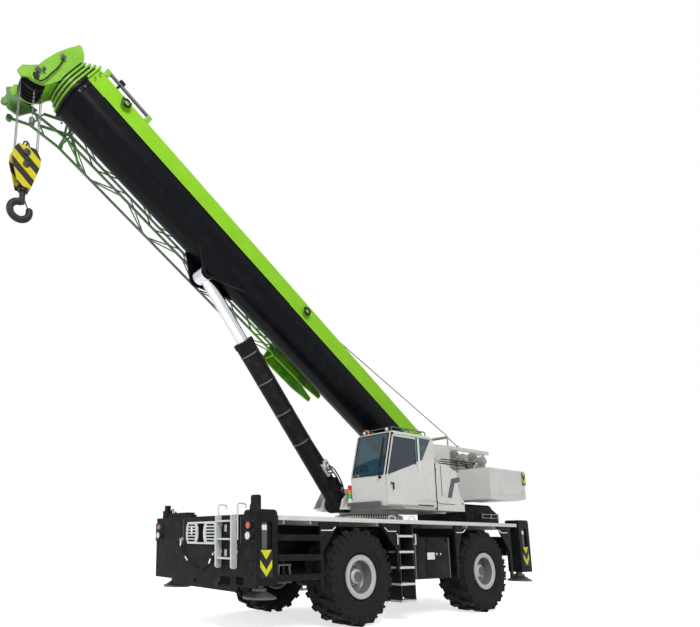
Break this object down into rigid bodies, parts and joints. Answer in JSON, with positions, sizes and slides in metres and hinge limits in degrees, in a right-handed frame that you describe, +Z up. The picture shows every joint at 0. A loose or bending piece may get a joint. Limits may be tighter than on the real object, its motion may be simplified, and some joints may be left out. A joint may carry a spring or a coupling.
{
  "type": "rough-terrain mobile crane",
  "caption": "Mobile crane on four large tyres: slewing turret with cab and counterweight, telescopic boom with lift cylinder, stowed lattice jib, hook block and sliding outriggers.",
  "frame": {"origin": "centre of the outline on the ground, under the crane", "axes": "+X the way it drives and the boom points, +Y its left (the cab's side), +Z up"},
  "size_m": [13.6753, 3.675, 10.892],
  "materials": {
    "carrier_paint": "satin",
    "turret_paint": "satin",
    "boom_green": "gloss",
    "boom_black": "satin",
    "jib_green": "satin",
    "tyre": "matt",
    "rim": "satin",
    "steel": "machined",
    "chrome": "polished",
    "aluminium": "mill",
    "glass": "tinted",
    "lamp": "clear",
    "seat": "woven",
    "rope": "wire rope"
  },
  "bodies": {
    "carrier": {"chassis_frame": "carrier_paint", "deck": "carrier_paint", "front_panel": "carrier_paint", "grille": "turret_paint", "ladders": "aluminium", "mudguards": "carrier_paint", "side_tanks": "carrier_paint", "engine_hood": "carrier_paint", "engine_block": "carrier_paint", "rear_bumper": "carrier_paint", "lamps_and_mirrors": "lamp", "slewing_ring": "steel", "axle_front": "carrier_paint", "axle_rear": "carrier_paint", "outrigger_boxes": "carrier_paint"},
    "turret": {"turret_frame": "turret_paint", "winches": "steel", "counterweight": "turret_paint", "body_panel": "turret_paint", "cab_shell": "turret_paint", "cab_glass": "glass", "cab_seat": "seat", "turret_lamps": "lamp"},
    "cab_door": {"cab_door": "turret_paint", "cab_door_glass": "glass"},
    "boom_pivot": {"boom_foot_pin": "steel"},
    "boom": {"boom_base": "boom_black", "jib": "jib_green"},
    "boom_2": {"boom_section_2": "boom_black"},
    "boom_3": {"boom_section_3": "boom_black"},
    "boom_4": {"boom_section_4": "boom_black"},
    "boom_5": {"boom_section_5": "boom_green"},
    "head_sheaves": {"head_sheaves": "boom_black"},
    "hook_block": {"hook_block": "boom_black", "rope_falls": "rope"},
    "hook": {"hook": "boom_black"},
    "lift_pivot": {"lift_foot_pin": "steel"},
    "lift_barrel": {"lift_barrel": "boom_black"},
    "lift_piston": {"lift_piston": "steel"},
    "lift_rod": {"lift_rod": "chrome"},
    "knuckle_front_left": {"knuckle_front_left": "carrier_paint"},
    "wheel_front_left": {"tyre_front_left": "tyre", "rim_front_left": "rim"},
    "knuckle_front_right": {"knuckle_front_right": "carrier_paint"},
    "wheel_front_right": {"tyre_front_right": "tyre", "rim_front_right": "rim"},
    "knuckle_rear_left": {"knuckle_rear_left": "carrier_paint"},
    "wheel_rear_left": {"tyre_rear_left": "tyre", "rim_rear_left": "rim"},
    "knuckle_rear_right": {"knuckle_rear_right": "carrier_paint"},
    "wheel_rear_right": {"tyre_rear_right": "tyre", "rim_rear_right": "rim"},
    "beam_front_left": {"outrigger_beam_front_left": "carrier_paint"},
    "jack_front_left": {"outrigger_jack_front_left": "carrier_paint"},
    "beam_front_right": {"outrigger_beam_front_right": "carrier_paint"},
    "jack_front_right": {"outrigger_jack_front_right": "carrier_paint"},
    "beam_rear_left": {"outrigger_beam_rear_left": "carrier_paint"},
    "jack_rear_left": {"outrigger_jack_rear_left": "carrier_paint"},
    "beam_rear_right": {"outrigger_beam_rear_right": "carrier_paint"},
    "jack_rear_right": {"outrigger_jack_rear_right": "carrier_paint"}
  },
  "joints": [
    {"name": "steer_front_left", "type": "hinge", "parent": "carrier", "child": "knuckle_front_left", "pos_m": [-0.056, 0.86, 0.94], "axis": [0, 0, 1], "range_deg": [-22, 22]},
    {"name": "spin_front_left", "type": "hinge", "parent": "knuckle_front_left", "child": "wheel_front_left", "pos_m": [-0.056, 1.288, 0.94], "axis": [0, 1, 0], "continuous": true},
    {"name": "steer_front_right", "type": "hinge", "parent": "carrier", "child": "knuckle_front_right", "pos_m": [-0.056, -0.86, 0.94], "axis": [0, 0, 1], "range_deg": [-22, 22]},
    {"name": "spin_front_right", "type": "hinge", "parent": "knuckle_front_right", "child": "wheel_front_right", "pos_m": [-0.056, -1.288, 0.94], "axis": [0, 1, 0], "continuous": true},
    {"name": "steer_rear_left", "type": "hinge", "parent": "carrier", "child": "knuckle_rear_left", "pos_m": [-4.296, 0.86, 0.94], "axis": [0, 0, 1], "range_deg": [-22, 22]},
    {"name": "spin_rear_left", "type": "hinge", "parent": "knuckle_rear_left", "child": "wheel_rear_left", "pos_m": [-4.296, 1.288, 0.94], "axis": [0, 1, 0], "continuous": true},
    {"name": "steer_rear_right", "type": "hinge", "parent": "carrier", "child": "knuckle_rear_right", "pos_m": [-4.296, -0.86, 0.94], "axis": [0, 0, 1], "range_deg": [-22, 22]},
    {"name": "spin_rear_right", "type": "hinge", "parent": "knuckle_rear_right", "child": "wheel_rear_right", "pos_m": [-4.296, -1.288, 0.94], "axis": [0, 1, 0], "continuous": true},
    {"name": "slew", "type": "hinge", "parent": "carrier", "child": "turret", "pos_m": [-2.176, 0, 2.11], "axis": [0, 0, 1], "continuous": true},
    {"name": "door_slide", "type": "slide", "parent": "turret", "child": "cab_door", "axis": [-1, 0, 0], "range_m": [0, 0.64]},
    {"name": "boom_raise", "type": "hinge", "parent": "turret", "child": "boom_pivot", "pos_m": [-4.576, 0, 3.55], "axis": [0, -1, 0], "range_deg": [0, 44.4]},
    {"name": "boom_lower", "type": "hinge", "parent": "boom_pivot", "child": "boom", "pos_m": [-4.576, 0, 3.55], "axis": [0, -1, 0], "range_deg": [-33.6, 0]},
    {"name": "telescope_2", "type": "slide", "parent": "boom", "child": "boom_2", "axis": [0.8329, 0, 0.5534], "range_m": [0, 8.8]},
    {"name": "telescope_3", "type": "slide", "parent": "boom_2", "child": "boom_3", "axis": [0.8329, 0, 0.5534], "range_m": [0, 8.8]},
    {"name": "telescope_4", "type": "slide", "parent": "boom_3", "child": "boom_4", "axis": [0.8329, 0, 0.5534], "range_m": [0, 8.8]},
    {"name": "telescope_5", "type": "slide", "parent": "boom_4", "child": "boom_5", "axis": [0.8329, 0, 0.5534], "range_m": [0, 8.8]},
    {"name": "cylinder_raise", "type": "hinge", "parent": "turret", "child": "lift_pivot", "pos_m": [-1.176, 0, 2.45], "axis": [0, -1, 0], "range_deg": [0, 44.1]},
    {"name": "cylinder_lower", "type": "hinge", "parent": "lift_pivot", "child": "lift_barrel", "pos_m": [-1.176, 0, 2.45], "axis": [0, -1, 0], "range_deg": [-49.6, 0]},
    {"name": "cylinder_extend", "type": "slide", "parent": "lift_barrel", "child": "lift_piston", "axis": [0.6315, 0, 0.7754], "range_m": [0, 2.70017]},
    {"name": "cylinder_retract", "type": "slide", "parent": "lift_piston", "child": "lift_rod", "axis": [0.6315, 0, 0.7754], "range_m": [-1.44822, 0]},
    {"name": "sheaves_level_up", "type": "hinge", "parent": "boom_5", "child": "head_sheaves", "pos_m": [6.45018, 0, 9.79524], "axis": [0, 1, 0], "range_deg": [0, 44.4]},
    {"name": "hook_swing", "type": "hinge", "parent": "head_sheaves", "child": "hook_block", "pos_m": [6.45018, 0, 9.79524], "axis": [0, 1, 0], "range_deg": [-33.6, 0]},
    {"name": "hook_swivel", "type": "hinge", "parent": "hook_block", "child": "hook", "pos_m": [6.45018, 0, 7.72024], "axis": [0, 0, 1], "continuous": true},
    {"name": "beam_front_left_slide", "type": "slide", "parent": "carrier", "child": "beam_front_left", "axis": [0, 1, 0], "range_m": [0, 2.05]},
    {"name": "jack_front_left_slide", "type": "slide", "parent": "beam_front_left", "child": "jack_front_left", "axis": [0, 0, -1], "range_m": [0, 0.63]},
    {"name": "beam_front_right_slide", "type": "slide", "parent": "carrier", "child": "beam_front_right", "axis": [0, -1, 0], "range_m": [0, 2.05]},
    {"name": "jack_front_right_slide", "type": "slide", "parent": "beam_front_right", "child": "jack_front_right", "axis": [0, 0, -1], "range_m": [0, 0.63]},
    {"name": "beam_rear_left_slide", "type": "slide", "parent": "carrier", "child": "beam_rear_left", "axis": [0, 1, 0], "range_m": [0, 2.05]},
    {"name": "jack_rear_left_slide", "type": "slide", "parent": "beam_rear_left", "child": "jack_rear_left", "axis": [0, 0, -1], "range_m": [0, 0.63]},
    {"name": "beam_rear_right_slide", "type": "slide", "parent": "carrier", "child": "beam_rear_right", "axis": [0, -1, 0], "range_m": [0, 2.05]},
    {"name": "jack_rear_right_slide", "type": "slide", "parent": "beam_rear_right", "child": "jack_rear_right", "axis": [0, 0, -1], "range_m": [0, 0.63]}
  ],
  "couplings": [
    {"joint": "steer_front_right", "follows": "steer_front_left", "ratio": 1},
    {"joint": "steer_rear_right", "follows": "steer_rear_left", "ratio": 1},
    {"joint": "telescope_3", "follows": "telescope_2", "ratio": 1},
    {"joint": "telescope_4", "follows": "telescope_2", "ratio": 1},
    {"joint": "telescope_5", "follows": "telescope_2", "ratio": 1},
    {"joint": "cylinder_raise", "follows": "boom_raise", "ratio": 0.9933},
    {"joint": "cylinder_lower", "follows": "boom_lower", "ratio": 1.4761},
    {"joint": "cylinder_extend", "follows": "boom_raise", "m_per_rad": 3.4844},
    {"joint": "cylinder_retract", "follows": "boom_lower", "m_per_rad": 2.4695},
    {"joint": "sheaves_level_up", "follows": "boom_raise", "ratio": 1},
    {"joint": "hook_swing", "follows": "boom_lower", "ratio": 1}
  ]
}
